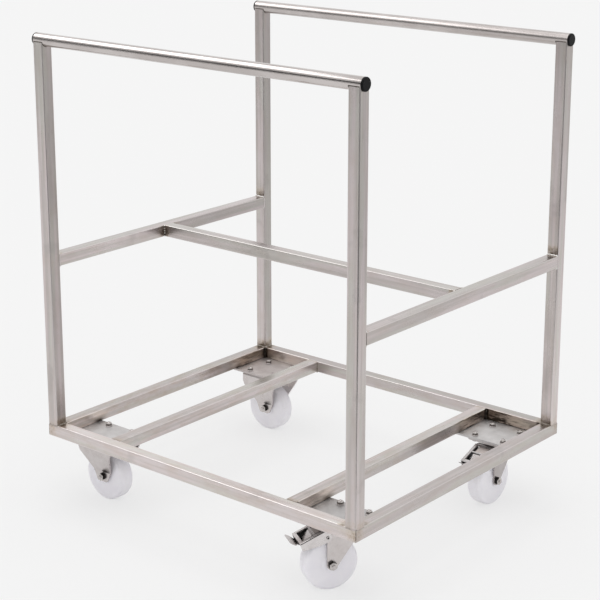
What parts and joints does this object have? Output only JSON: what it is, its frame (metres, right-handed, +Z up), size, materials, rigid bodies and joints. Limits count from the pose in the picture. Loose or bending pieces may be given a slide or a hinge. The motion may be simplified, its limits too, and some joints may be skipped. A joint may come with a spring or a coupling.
{
  "type": "bin dolly",
  "caption": "Stainless square-tube dolly for bins: open front and back bays, a push rail on each long side, fixed casters on one end and braked swivel casters on the other.",
  "frame": {"origin": "on the floor below the middle of the tube frame", "axes": "+Z up; +X along the push rails, from the fixed casters to the swivel casters; +Y from the front hoop to the back hoop"},
  "size_m": [0.96, 0.8233, 1.15],
  "materials": {
    "frame_steel": "ground satin stainless steel",
    "rail_steel": "polished stainless tube",
    "caster_steel": "pressed stainless sheet",
    "bright_steel": "bright stainless fasteners",
    "wheel_nylon": "natural white nylon",
    "bush_plastic": "plain bearing plastic",
    "cap_plastic": "black moulded plug",
    "shoe_rubber": "black brake block"
  },
  "bodies": {
    "frame": {"base_rail_back": "frame_steel", "base_rail_front": "frame_steel", "base_rail_left": "frame_steel", "base_rail_right": "frame_steel", "caster_bolts": "bright_steel", "caster_nuts": "bright_steel", "caster_washers": "bright_steel", "centre_bar": "frame_steel", "fixed_axle_bolts": "bright_steel", "fixed_axle_nuts": "bright_steel", "fixed_axle_sleeves": "bright_steel", "fixed_bracket_back": "caster_steel", "fixed_bracket_front": "caster_steel", "inner_rail_left": "frame_steel", "inner_rail_right": "frame_steel", "king_bolts": "bright_steel", "king_nuts": "bright_steel", "mount_plate_back_left": "frame_steel", "mount_plate_back_right": "frame_steel", "mount_plate_front_left": "frame_steel", "mount_plate_front_right": "frame_steel", "push_rail_back": "rail_steel", "push_rail_front": "rail_steel", "rail_end_caps": "cap_plastic", "side_mid_rail_left": "frame_steel", "side_mid_rail_right": "frame_steel", "swivel_balls": "bright_steel", "swivel_plate_back": "caster_steel", "swivel_plate_front": "caster_steel", "upright_back_left": "frame_steel", "upright_back_right": "frame_steel", "upright_front_left": "frame_steel", "upright_front_right": "frame_steel"},
    "swivel_front": {"swivel_fork_front": "caster_steel", "axle_sleeve_front": "bright_steel", "axle_bolt_front": "bright_steel", "axle_nut_front": "bright_steel", "brake_pin_front": "bright_steel"},
    "pedal_front": {"brake_pedal_front": "caster_steel", "toe_strip_front": "caster_steel", "brake_shoe_front": "shoe_rubber"},
    "roller_front_left": {"wheel_front_left": "wheel_nylon", "wheel_bush_front_left": "bush_plastic"},
    "roller_front_right": {"wheel_front_right": "wheel_nylon", "wheel_bush_front_right": "bush_plastic"},
    "swivel_back": {"swivel_fork_back": "caster_steel", "axle_sleeve_back": "bright_steel", "axle_bolt_back": "bright_steel", "axle_nut_back": "bright_steel", "brake_pin_back": "bright_steel"},
    "pedal_back": {"brake_pedal_back": "caster_steel", "toe_strip_back": "caster_steel", "brake_shoe_back": "shoe_rubber"},
    "roller_back_left": {"wheel_back_left": "wheel_nylon", "wheel_bush_back_left": "bush_plastic"},
    "roller_back_right": {"wheel_back_right": "wheel_nylon", "wheel_bush_back_right": "bush_plastic"}
  },
  "joints": [
    {"name": "swivel_turn_front", "type": "hinge", "parent": "frame", "child": "swivel_front", "pos_m": [0.3665, -0.303, 0.149], "axis": [0, 0, 1], "continuous": true},
    {"name": "wheel_roll_front_right", "type": "hinge", "parent": "swivel_front", "child": "roller_front_right", "pos_m": [0.34795, -0.33268, 0.0625], "axis": [0.848, -0.5299, 0], "continuous": true},
    {"name": "brake_press_front", "type": "hinge", "parent": "swivel_front", "child": "pedal_front", "pos_m": [0.34181, -0.34252, 0.13], "axis": [0.848, -0.5299, 0], "range_deg": [0, 12]},
    {"name": "wheel_roll_front_left", "type": "hinge", "parent": "frame", "child": "roller_front_left", "pos_m": [-0.3665, -0.303, 0.0625], "axis": [0, 1, 0], "continuous": true},
    {"name": "swivel_turn_back", "type": "hinge", "parent": "frame", "child": "swivel_back", "pos_m": [0.3665, 0.303, 0.149], "axis": [0, 0, 1], "continuous": true},
    {"name": "wheel_roll_back_right", "type": "hinge", "parent": "swivel_back", "child": "roller_back_right", "pos_m": [0.36528, 0.26802, 0.0625], "axis": [0.9994, -0.0349, 0], "continuous": true},
    {"name": "brake_press_back", "type": "hinge", "parent": "swivel_back", "child": "pedal_back", "pos_m": [0.36487, 0.25643, 0.13], "axis": [0.9994, -0.0349, 0], "range_deg": [0, 12]},
    {"name": "wheel_roll_back_left", "type": "hinge", "parent": "frame", "child": "roller_back_left", "pos_m": [-0.3665, 0.303, 0.0625], "axis": [0, 1, 0], "continuous": true}
  ]
}
